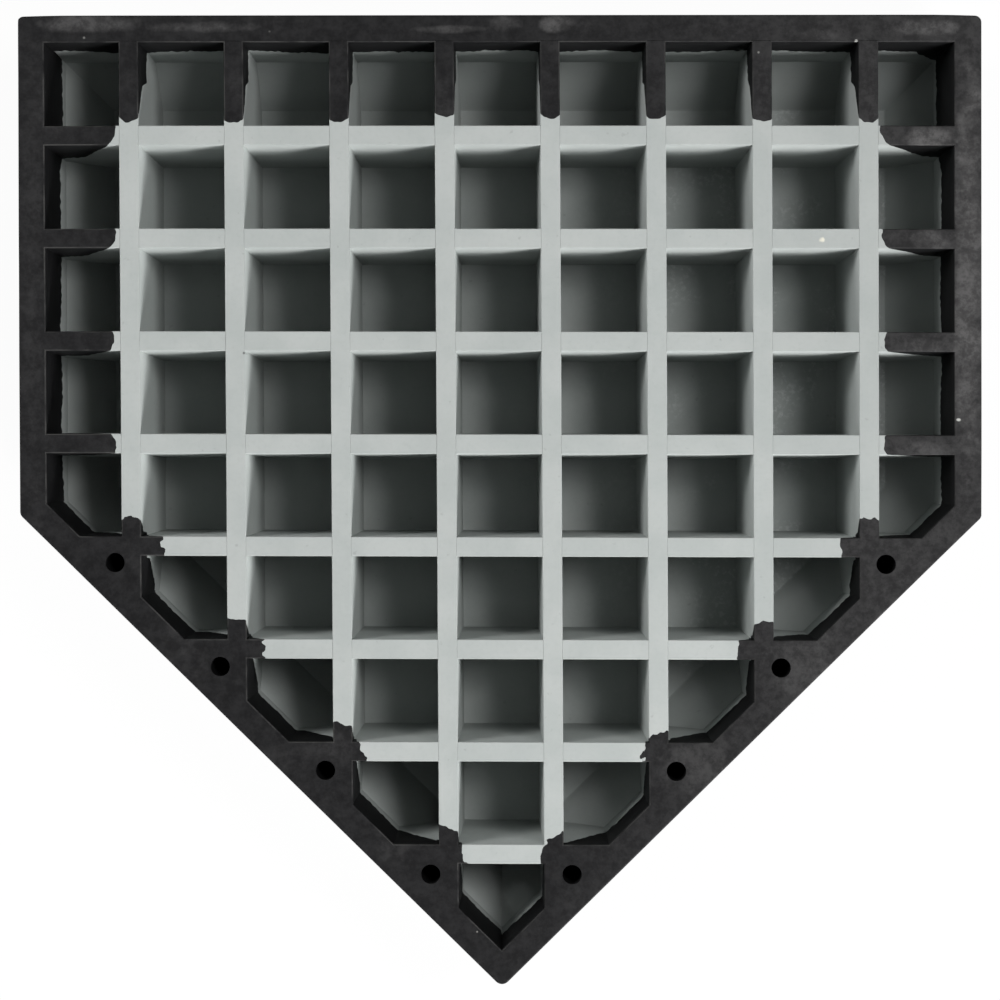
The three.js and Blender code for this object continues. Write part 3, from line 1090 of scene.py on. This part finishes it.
@dataclass
class Bond:
    """The ragged surface where the black rubber ran into the grey one in the press.

    Lengths are in millimetres. Reaches are distances in from the outer edge at the rim: a pair for each rib,
    at its two flanks, or one for each crossing on a point edge. Depths are how far down the border's inner
    wall the black goes. Falls say what share of that depth is left at a share of the way along a rib.
    Towards the tip the black runs on along the long ribs and falls short along the cross ones: a gain and
    a loss each for the left and the right point edge.
    """

    waffle: Waffle
    front_reach: Pairs = (
        (52.0, 49.5), (51.0, 50.5), (51.2, 50.0), (47.8, 48.6),
        (48.4, 49.4), (49.4, 49.0), (50.6, 51.0), (50.4, 51.6),
    )
    left_reach: Pairs = ((48.1, 44.2), (47.4, 45.3), (45.6, 45.0), (44.5, 47.3))
    right_reach: Pairs = ((49.3, 44.7), (48.3, 45.2), (46.2, 45.8), (46.6, 46.0))
    left_point_reach: tuple[float, ...] = (37.4, 37.9, 36.8, 34.3)
    right_point_reach: tuple[float, ...] = (38.1, 37.9, 34.2, 32.4)
    crossing_shares: tuple[float, ...] = (0.09, 0.35, 0.61, 0.87)
    squareness: Pairs = ((0.0, 1.0), (0.45, 1.0), (0.66, 0.6), (0.9, 0.4))
    long_gain: Span = (6.0, 4.0)
    cross_loss: Span = (2.6, 5.0)
    gain_power: int = 4
    tip_bulge: float = 1.3

    front_depth: float = 21.0
    left_depth: float = 31.5
    right_depth: float = 28.0
    left_point_depth: float = 35.5
    right_point_depth: float = 28.5
    left_corner_depth: float = 40.5
    right_corner_depth: float = 40.0
    front_corner_run: float = 29.0
    side_corner_run: float = 72.0
    corner_ease: float = 13.0
    shoulder_share: float = 1 / 6

    front_fall: Pairs = ((0.0, 1.0), (0.43, 0.88), (0.53, 0.45), (0.9, 0.12), (1.0, 0.0))
    left_fall: Pairs = ((0.0, 1.0), (0.46, 0.92), (1.0, 0.0))
    right_fall: Pairs = ((0.0, 1.0), (0.3, 0.9), (0.55, 0.55), (1.0, 0.0))
    point_fall: Pairs = ((0.0, 1.0), (0.58, 0.4), (1.0, 0.0))
    past_end: float = 0.9

    tip_waves: tuple[Wave, ...] = (Wave(0.8, 7.0, 1), Wave(0.8, 2.6, 2))
    point_wave_gain: float = 2.0
    wall_waves: tuple[Wave, ...] = (Wave(5.5, 37.0, 3), Wave(1.8, 9.0, 4), Wave(2.6, 2.4, 5))
    seed: float = 3.7
    layer_step: float = 11.3

    start: float = 12.0
    end: float = 59.0
    step: float = 0.9
    foot: float = 9.0

    def solid(self) -> Solid:
        """The grey rubber's side of the bond, before pockets.

        Returns:
            Everything inside and below the bond, from within the slab's foot to above the rim.
        """
        outline, rim = self.waffle.outline, self.waffle.outline.rim / MM
        outer = outline.ring(0.0)
        lengths = np.linalg.norm(np.roll(outer, -1, 0) - outer, axis=1)
        counts = [round(float(length) / MM / self.step) for length in lengths]
        sides = np.repeat(np.arange(len(counts)), counts)
        shares = np.concatenate([np.arange(n) / n for n in counts])
        places: list[np.ndarray] = []
        heights: list[np.ndarray] = []
        for reach in np.arange(self.start, self.end + self.step / 2, self.step):
            ring = outline.ring(reach * MM) / MM
            plan = ring[sides] + (np.roll(ring, -1, 0) - ring)[sides] * shares[:, None]
            depth = self._depth(plan, sides, shares, float(reach))
            height = np.minimum(rim - depth, rim + self.waffle.over / MM)
            heights.append(np.where(self._in_block(plan), self.waffle.floor / MM, height))
            places.append(plan)
        foot = np.column_stack([places[0], np.full(len(sides), self.foot)])
        rows = [foot, *(np.column_stack(row) for row in zip(places, heights))]
        return Solid.from_faces(np.concatenate(rows) * MM, _skin_faces(len(foot), len(rows)))

    def _depth(self, plan: np.ndarray, sides: np.ndarray, shares: np.ndarray, reach: float) -> np.ndarray:
        """How deep the black goes below the rim, negative past its end.

        Args:
            plan: Points of one row in millimetres.
            sides: The edge that each belongs to.
            shares: How far along that edge each lies, 0 to 1.
            reach: How far in the row lies.

        Returns:
            The depth at each point.
        """
        falls = {
            Edge.FRONT: self.front_fall,
            Edge.LEFT: self.left_fall,
            Edge.RIGHT: self.right_fall,
            Edge.LEFT_POINT: self.point_fall,
            Edge.RIGHT_POINT: self.point_fall,
        }
        wall = self.waffle.rim_width / MM
        past_wall = reach - self._squaring(plan, sides, shares) - wall
        depth = np.zeros(len(plan))
        for edge, curve in falls.items():
            on = sides == edge.value
            along = np.maximum(past_wall[on] / (self._tips(plan[on], edge, shares[on]) - wall), 0.0)
            fall = np.where(along < 1.0, np.interp(along, *zip(*curve)), self.past_end * (1 - along))
            depth[on] = self._wall_depths(plan[on], edge, shares[on]) * fall
        return depth

    def _squaring(self, plan: np.ndarray, sides: np.ndarray, shares: np.ndarray) -> np.ndarray:
        """How much is added to the reach along the point edges, so that the black ends square to a rib.

        Args:
            plan: Points of one row in millimetres.
            sides: The edge that each belongs to.
            shares: How far along that edge each lies.

        Returns:
            The length at each point, nothing off the ribs.
        """
        added = np.zeros(len(plan))
        half = self.waffle.half_rib(self.waffle.floor) / MM
        for edge, gain, loss in zip((Edge.LEFT_POINT, Edge.RIGHT_POINT), self.long_gain, self.cross_loss):
            to_tip = self._to_tip(edge, shares)
            on_edge = sides == edge.value
            part = np.interp(to_tip, *zip(*self.squareness))
            inward = self.waffle.outline.inward()[edge.value]
            for axis, (way, growth) in enumerate(((Way.LONG, gain), (Way.CROSS, -loss))):
                for centre in self.waffle.centres(way):
                    off = plan[:, axis] - centre / MM
                    longer = part * off * inward[axis] + growth * to_tip**self.gain_power
                    added += np.where(on_edge & (np.abs(off) < half), longer, 0.0)
        return added

    def _to_tip(self, edge: Edge, shares: np.ndarray) -> np.ndarray:
        """How far along a point edge each point lies towards the tip."""
        return shares if edge is Edge.LEFT_POINT else 1 - shares

    def _tips(self, plan: np.ndarray, edge: Edge, shares: np.ndarray) -> np.ndarray:
        """How far in the black ends at the rim.

        Args:
            plan: Points along one edge in millimetres.
            edge: That edge.
            shares: How far along the edge they lie.

        Returns:
            The reach of each in millimetres.
        """
        wave = self._noise(plan, self.tip_waves)
        if edge in (Edge.LEFT_POINT, Edge.RIGHT_POINT):
            reaches = self.left_point_reach if edge is Edge.LEFT_POINT else self.right_point_reach
            plain = np.interp(self._to_tip(edge, shares), self.crossing_shares, reaches)
            return plain + self.point_wave_gain * wave
        across, way, sign = plan[:, 1], Way.CROSS, -1.0
        if edge is Edge.FRONT:
            across, way, sign = plan[:, 0], Way.LONG, 1.0
        pairs = {Edge.FRONT: self.front_reach, Edge.LEFT: self.left_reach, Edge.RIGHT: self.right_reach}[edge]
        half = self.waffle.rib_width / MM / 2
        stations: list[Span] = []
        bulge = np.zeros(len(plan))
        for centre, (first, second) in zip(self.waffle.centres(way), pairs):
            stations += [(centre / MM - sign * half, first), (centre / MM + sign * half, second)]
            bulge += self.tip_bulge * np.maximum(0.0, 1 - ((across - centre / MM) / half) ** 2)
        stations.sort()
        return np.interp(across, *zip(*stations)) + bulge + wave

    def _wall_depths(self, plan: np.ndarray, edge: Edge, shares: np.ndarray) -> np.ndarray:
        """How far down the border's wall the black goes.

        Args:
            plan: Points along one edge in millimetres.
            edge: That edge.
            shares: How far along the edge they lie.

        Returns:
            The depth at each point in millimetres.
        """
        front = self.waffle.outline.front_y / MM
        side = self.waffle.outline.ring(0.0)[Edge.RIGHT.value][0] / MM
        plain = {
            Edge.FRONT: self.front_depth,
            Edge.LEFT: self.left_depth,
            Edge.RIGHT: self.right_depth,
            Edge.LEFT_POINT: self.left_point_depth,
            Edge.RIGHT_POINT: self.right_point_depth,
        }
        depth = np.full(len(plan), plain[edge])
        corner = np.where(plan[:, 0] < 0, self.left_corner_depth, self.right_corner_depth)
        if edge is Edge.FRONT:
            near = np.clip((self.front_corner_run - (side - plan[:, 0])) / self.corner_ease, 0.0, 1.0)
            depth += (corner - depth) * near
        elif edge in (Edge.LEFT, Edge.RIGHT):
            near = np.clip((self.side_corner_run - (front - plan[:, 1])) / self.corner_ease, 0.0, 1.0)
            from_shoulder = shares if edge is Edge.RIGHT else 1 - shares
            shoulder = np.maximum(0.0, 1 - from_shoulder / self.shoulder_share)
            point = self.left_point_depth if edge is Edge.LEFT else self.right_point_depth
            depth += (corner - depth) * near + (point - depth) * shoulder
        return depth + self._noise(plan, self.wall_waves)

    def _noise(self, plan: np.ndarray, waves: Iterable[Wave]) -> np.ndarray:
        """Fixed noise at plan points, its layers added up."""
        total = np.zeros(len(plan))
        for wave in waves:
            height = self.seed + self.layer_step * wave.layer
            places = [Vector((x / wave.length, y / wave.length, height)) for x, y in plan]
            total += wave.height * np.array([noise.noise(place) for place in places])
        return total

    def _in_block(self, plan: np.ndarray) -> np.ndarray:
        """Which points lie in the solid black corners beside the point edges."""
        inside = np.zeros(len(plan), bool)
        for west, south in corner_cells(self.waffle):
            inside |= (-np.abs(plan[:, 0]) < west / MM) & (plan[:, 1] < south / MM)
        return inside


# Sub-assemblies


@dataclass(frozen=True)
class Warp:
    """How the moulded plate has racked out of square, as slopes and lengths in plan."""

    skew: float = 0.0035
    level: float = 48.0 * MM
    twist: float = 0.0022
    bow: float = 0.95 * MM
    droop: float = 0.6 * MM
    droop_run: float = 30.0 * MM

    def apply(self, mesh: bpy.types.Mesh) -> None:
        """Moves a mesh's points in plan, never past the CAD's box."""
        places = _vectors(mesh.vertices, "co")
        x, y = places[:, 0].copy(), places[:, 1].copy()
        low, high = CAD_BOX
        down = np.clip((high.y - y) / high.y, 0.0, 1.0)
        forward = (y - low.y) / (high.y - low.y)
        bowed = self.bow * (1 - (x / high.x) ** 2) * forward
        places[:, 0] = np.clip(x + self.skew * (self.level - y) - bowed, low.x, high.x)
        corner = np.clip(1 - (high.x - np.abs(x)) / self.droop_run, 0.0, 1.0)
        drooped = self.droop * (corner * forward) ** 2
        places[:, 1] = np.clip(y - self.twist * x * down - drooped, low.y, high.y)
        mesh.vertices.foreach_set("co", places.ravel())
        mesh.update()


class SubAssembly:
    """What every sub-assembly does with its finished solids."""

    finish: Rubber
    warp = Warp()
    sharp = math.radians(32)

    def mark(self, mesh: bpy.types.Mesh) -> None:
        """Writes what a finish reads from the mesh, nothing unless a sub-assembly says so."""

    def dress(self, solid: Solid, node: str) -> bpy.types.Object:
        """Shows a solid as the finished piece that stands for a CAD node.

        Args:
            solid: The piece's mesh.
            node: The CAD node that it replaces.

        Returns:
            The object, riding on the plate's body.
        """
        mesh = solid.mesh
        self.mark(mesh)
        self.warp.apply(mesh)
        mesh.materials.clear()
        mesh.materials.append(self.finish.material())
        mesh.polygons.foreach_set("material_index", np.zeros(len(mesh.polygons), int))
        mesh.shade_smooth()
        mesh.set_sharp_from_angle(angle=self.sharp)
        made = bpy.data.objects.new(f"{node}_rubber", mesh)
        bpy.context.scene.collection.objects.link(made)
        even = made.modifiers.new("even_normals", "WEIGHTED_NORMAL")
        even.keep_sharp = True
        ready = made.evaluated_get(bpy.context.evaluated_depsgraph_get())
        made.data = bpy.data.meshes.new_from_object(ready)
        made.data.name = made.name
        made.modifiers.remove(even)
        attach(made, BODY)
        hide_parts(node)
        LOG.info("%s: %d faces, stands for %s", made.name, len(made.data.polygons), node)
        return made


@dataclass
class RibSet(SubAssembly):
    """The grey ribs: the long ones run over the cross ones in half-depth laps."""

    waffle: Waffle
    space: Solid
    finish: Rubber = field(default_factory=GreyRubber)

    def build(self) -> list[bpy.types.Object]:
        """Makes the sixteen ribs.

        Returns:
            The pieces, long ribs first.
        """
        waffle, rim = self.waffle, self.waffle.outline.rim
        lap = (waffle.floor + rim) / 2
        other = {Way.LONG: waffle.bars(Way.CROSS, waffle.floor - waffle.over, lap),
                 Way.CROSS: waffle.bars(Way.LONG, lap, rim + waffle.over)}
        pieces: list[bpy.types.Object] = []
        for way in Way:
            axis = 0 if way is Way.LONG else 1
            centres = np.array(waffle.centres(way))
            row = RibRow(waffle, way, self.finish, waffle.edge_radius)
            bars = row.solid().within(self.space).minus(other[way])
            parts = bars.sorted_parts(lambda middle: int(np.abs(centres - middle[axis]).argmin()))
            for k in sorted(parts):
                pieces.append(self.dress(parts[k], f"{way.value}_rib_{k + 1}"))
        return pieces


@dataclass
class Backing(SubAssembly):
    """The grey slab, with the skin that it turns up on the border's wall."""

    waffle: Waffle
    grey_side: Solid
    low: float = 4.0 * MM
    seat_top: float = 10.0 * MM
    finish: Rubber = field(default_factory=GreyRubber)

    def seat(self, low: float) -> Solid:
        """The space of the slab's foot, from a height up."""
        outline = self.waffle.outline
        return Solid.prism(outline.ring(outline.bevel_width), low, self.seat_top)

    def build(self) -> bpy.types.Object:
        """Makes the slab and its upturned edge as one piece."""
        slab = self.grey_side.joined(self.seat(self.low)).minus(self.waffle.pockets())
        return self.dress(slab, "core_slab")


@dataclass
class PlayingFace(SubAssembly):
    """The white face underneath."""

    outline: Outline
    thickness: float = 4.0 * MM
    edge: float = 0.5 * MM
    edge_bend: float = 0.15 * MM
    finish: Rubber = field(default_factory=WhiteRubber)

    def build(self) -> bpy.types.Object:
        """Makes the face with an eased lower edge."""
        reach = self.outline.bevel_width
        eased = [(0.0, reach + self.edge), (self.edge_bend, reach + self.edge_bend), (self.edge, reach)]
        levels = [*eased, (self.thickness, reach)]
        face = Solid.loft([self.outline.ring(r) for _, r in levels], [z for z, _ in levels])
        return self.dress(face, "playing_face")


@dataclass
class Border(SubAssembly):
    """The black border: five strips with rib ends, solid corners and peg holes."""

    waffle: Waffle
    grey_side: Solid
    seat: Solid
    edge_radius: float = 1.0 * MM
    edge_steps: int = 4
    trim: float = 8.0 * MM
    inner: float = 5.0 * MM
    block: float = 50.0 * MM
    overlap: float = 1.0 * MM
    peg_offset: float = 8.1 * MM
    peg_step: tuple[float, float, float] = (51.25 * MM, -50.75 * MM, 0.0)
    # Which face tilts get the pale edge, partly wear and partly a painted highlight
    worn_and_lit_rise: Span = (0.1, 0.995)
    far: float = 600.0 * MM
    finish: Rubber = field(default_factory=BlackRubber)

    def build(self) -> list[bpy.types.Object]:
        """Makes the five strips.

        Returns:
            The pieces.
        """
        stock = self._frame().joined(self._lattice()).minus(self.grey_side).minus(self.seat)
        for row in self._pegs():
            stock = stock.minus(row)
        low, high = -self.waffle.over, self.waffle.outline.rim + self.waffle.over
        pieces: list[bpy.types.Object] = []
        for node, region in self._regions().items():
            strip = stock.within(Solid.prism(region, low, high))
            pieces.append(self.dress(strip, node))
        return pieces

    def mark(self, mesh: bpy.types.Mesh) -> None:
        """Marks the eased edges round the pockets, which are painted pale: partly wear, partly a painted
        highlight.
        """
        outline = self.waffle.outline
        rise, middle = _vectors(mesh.polygons, "normal")[:, 2], _vectors(mesh.polygons, "center")
        edges = zip(outline.ring(0.0), outline.inward())
        reach = np.min([(middle[:, :2] - corner) @ way for corner, way in edges], 0)
        tilted = (rise > self.worn_and_lit_rise[0]) & (rise < self.worn_and_lit_rise[1])
        worn_and_lit = tilted & (middle[:, 2] > outline.rim - self.waffle.black_radius) & (reach > self.inner)
        wear_and_highlight_layer = mesh.attributes.new(BlackRubber.edge_attribute, "FLOAT", "FACE")
        wear_and_highlight_layer.data.foreach_set("value", worn_and_lit.astype(float))

    def _frame(self) -> Solid:
        """The bevelled outer body without the space inside its wall."""
        outline = self.waffle.outline
        radii = outline.corner_radii
        foot = outline.rounded(outline.bevel_width - outline.bevel_land, [outline.foot_radius] * len(radii))
        rings, heights = [foot, outline.rounded(0.0, radii)], [0.0, outline.bevel_height]
        for k in range(self.edge_steps + 1):
            turn = math.pi / 2 * k / self.edge_steps
            inset = self.edge_radius * (1 - math.cos(turn))
            rings.append(outline.rounded(inset, [r - inset for r in radii]))
            heights.append(outline.rim - self.edge_radius * (1 - math.sin(turn)))
        return Solid.loft(rings, heights).minus(self.waffle.cavity())

    def _lattice(self) -> Solid:
        """All ribs and solid corners, trimmed inside the border."""
        waffle, rim = self.waffle, self.waffle.outline.rim
        rows = [RibRow(waffle, way, self.finish, waffle.black_radius).solid() for way in Way]
        ribs = rows[0].joined(rows[1])
        for west, south in corner_cells(waffle):
            east, north = west + self.overlap, south + self.overlap
            block = _rectangle(east - self.block, east, north - self.block, north)
            for ring in (block, _mirrored(block)):
                ribs = ribs.joined(Solid.prism(ring, waffle.floor, rim))
        trim = Solid.prism(waffle.outline.ring(self.trim), waffle.floor - waffle.over, rim + waffle.over)
        return ribs.within(trim)

    def _pegs(self) -> list[Solid]:
        """The peg holes' cutters, one row for each point edge."""
        longs, crosses = self.waffle.centres(Way.LONG), self.waffle.centres(Way.CROSS)
        rim, away = self.waffle.outline.rim, self.peg_offset
        step = Vector(self.peg_step)
        first = Vector((longs[0] - away, crosses[self.waffle.count // 2] - away, rim))
        flip = Matrix.Diagonal((-1.0, 1.0, 1.0))
        rows = ((first, step), (flip @ first, flip @ step))
        return [PegRow(start, run, self.finish).solid() for start, run in rows]

    def _regions(self) -> dict[str, Ring]:
        """Where each strip lies in plan: the side strips run through, the others butt against them."""
        outline, far = self.waffle.outline, self.far
        corner, shoulder = outline.ring(self.waffle.rim_width)[:2]
        longs, crosses = self.waffle.centres(Way.LONG), self.waffle.centres(Way.CROSS)
        crossing = (longs[0], crosses[0])
        turn = outline.ring(longs[0] - outline.ring(0.0)[0][0])[1]
        outside = [(corner[0], far), (-far, far), (-far, -far), (shoulder[0], -far)]
        left = np.array([*outside[1:], shoulder, turn, crossing, corner, outside[0]])
        left_point = np.array([outside[-1], (0.0, -far), (0.0, turn[1]), turn, shoulder])
        front_half = np.array([outside[0], corner, crossing])
        return {
            "front_border": np.concatenate([front_half, _mirrored(front_half)]),
            "left_border": left,
            "right_border": _mirrored(left),
            "left_point_border": left_point,
            "right_point_border": _mirrored(left_point),
        }


# The studio


@dataclass(frozen=True)
class SoftBox:
    """A square lamp that faces the plate, at a bearing from +X and a height above the horizon in degrees."""

    name: str
    bearing: float
    height: float
    watts: float
    distance: float = 1.6
    size: float = 0.55

    def build(self) -> bpy.types.Object:
        """Hangs the lamp."""
        lamp = bpy.data.lights.new(self.name, "AREA")
        lamp.shape, lamp.size, lamp.energy = "SQUARE", self.size, self.watts
        turn, rise = math.radians(self.bearing), math.radians(self.height)
        away = Vector((math.cos(turn) * math.cos(rise), math.sin(turn) * math.cos(rise), math.sin(rise)))
        made = bpy.data.objects.new(self.name, lamp)
        made.location = Vector((0.0, 0.0, CAD_BOX[1].z)) + away * self.distance
        made.rotation_euler = (-away).to_track_quat("-Z", "Y").to_euler()
        bpy.context.scene.collection.objects.link(made)
        return made


@dataclass
class Studio:
    """Camera, floor and light."""

    eye: tuple[float, float, float] = (0.0049, 0.01365, 1.0892)
    target: tuple[float, float, float] = (0.0, 0.00052, 0.0762)
    lens: float = 74.7
    sensor: float = 36.0
    clip: Span = (0.01, 50.0)
    white: Colour = (1.0, 1.0, 1.0, 1.0)
    floor_colour: Colour = (0.9, 0.9, 0.9, 1.0)
    floor_glow: float = 0.94
    floor_half: float = 4.0
    floor_drop: float = 0.2 * MM
    lamps: tuple[SoftBox, ...] = (
        SoftBox("key_softbox", 300.0, 18.0, 20.6),
        SoftBox("key_top_softbox", 305.0, 26.5, 16.3),
        SoftBox("low_softbox", 195.0, 10.0, 7.8),
        SoftBox("left_softbox", 150.0, 36.0, 12.2),
        SoftBox("right_softbox", 21.0, 58.0, 11.6),
    )
    sky: float = 0.003

    def build(self) -> None:
        """Sets up the whole studio."""
        bpy.context.scene.view_settings.view_transform = "Standard"
        self._camera()
        self._floor()
        self._world()
        for lamp in self.lamps:
            lamp.build()

    def _camera(self) -> None:
        """A camera straight above the waffle, the front edge up in the picture."""
        camera = bpy.data.cameras.new("camera")
        camera.lens, camera.sensor_width = self.lens, self.sensor
        camera.clip_start, camera.clip_end = self.clip
        made = bpy.data.objects.new("camera", camera)
        eye, target = Vector(self.eye), Vector(self.target)
        back = (eye - target).normalized()
        right = Vector((0.0, 1.0, 0.0)).cross(back).normalized()
        up = back.cross(right)
        turn = Matrix((right, up, back)).transposed().to_4x4()
        made.matrix_world = Matrix.Translation(eye) @ turn
        bpy.context.scene.collection.objects.link(made)
        bpy.context.scene.camera = made

    def _floor(self) -> None:
        """A plain white floor that shows the plate's shadow."""
        half = self.floor_half
        corners = [(x * half, y * half, -self.floor_drop) for x, y in ((-1, -1), (1, -1), (1, 1), (-1, 1))]
        mesh = bpy.data.meshes.new("floor")
        mesh.from_pydata(corners, [], [(0, 1, 2, 3)])
        made = bpy.data.objects.new("floor", mesh)
        bpy.context.scene.collection.objects.link(made)
        mesh.materials.append(self._floor_paint())

    def _floor_paint(self) -> bpy.types.Material:
        """White paper: plain to the lamps, near white to the camera."""
        paint = bpy.data.materials.new("floor_paper")
        paint.use_nodes = True
        nodes = Nodes(paint.node_tree)
        path = nodes.add("ShaderNodeLightPath")
        seen = nodes.math("MAXIMUM", path.outputs["Is Camera Ray"], path.outputs["Is Glossy Ray"])
        seen = nodes.math("MAXIMUM", seen, path.outputs["Is Transmission Ray"])
        plain = nodes.add("ShaderNodeBsdfDiffuse", {"Color": self.floor_colour})
        glow = nodes.add("ShaderNodeEmission", {"Color": self.white, "Strength": 1.0})
        share = nodes.math("MULTIPLY", seen, self.floor_glow)
        mixed = nodes.add("ShaderNodeMixShader", {0: share, 1: plain.outputs[0], 2: glow.outputs[0]})
        nodes.add("ShaderNodeOutputMaterial", {"Surface": mixed.outputs[0]})
        return paint

    def _world(self) -> None:
        """A faint sky that fills the shadows, white to the camera."""
        world = bpy.data.worlds.new("studio")
        bpy.context.scene.world = world
        world.use_nodes = True
        nodes = Nodes(world.node_tree)
        seen = nodes.add("ShaderNodeLightPath").outputs["Is Camera Ray"]
        fill = nodes.add("ShaderNodeBackground", {"Color": self.white, "Strength": self.sky})
        white = nodes.add("ShaderNodeBackground", {"Color": self.white, "Strength": 1.0})
        mixed = nodes.add("ShaderNodeMixShader", {0: seen, 1: fill.outputs[0], 2: white.outputs[0]})
        nodes.add("ShaderNodeOutputWorld", {"Surface": mixed.outputs[0]})


def main() -> None:
    """Builds the plate piece by piece, then the studio."""
    logging.basicConfig(level=logging.INFO, format="%(name)s %(message)s")
    outline = Outline()
    waffle = Waffle(outline)
    grey_side = Bond(waffle).solid()
    backing = Backing(waffle, grey_side)
    RibSet(waffle, grey_side.within(waffle.cavity())).build()
    backing.build()
    PlayingFace(outline).build()
    Border(waffle, grey_side, backing.seat(-waffle.over)).build()
    Studio().build()


if __name__ == "__main__":
    main()
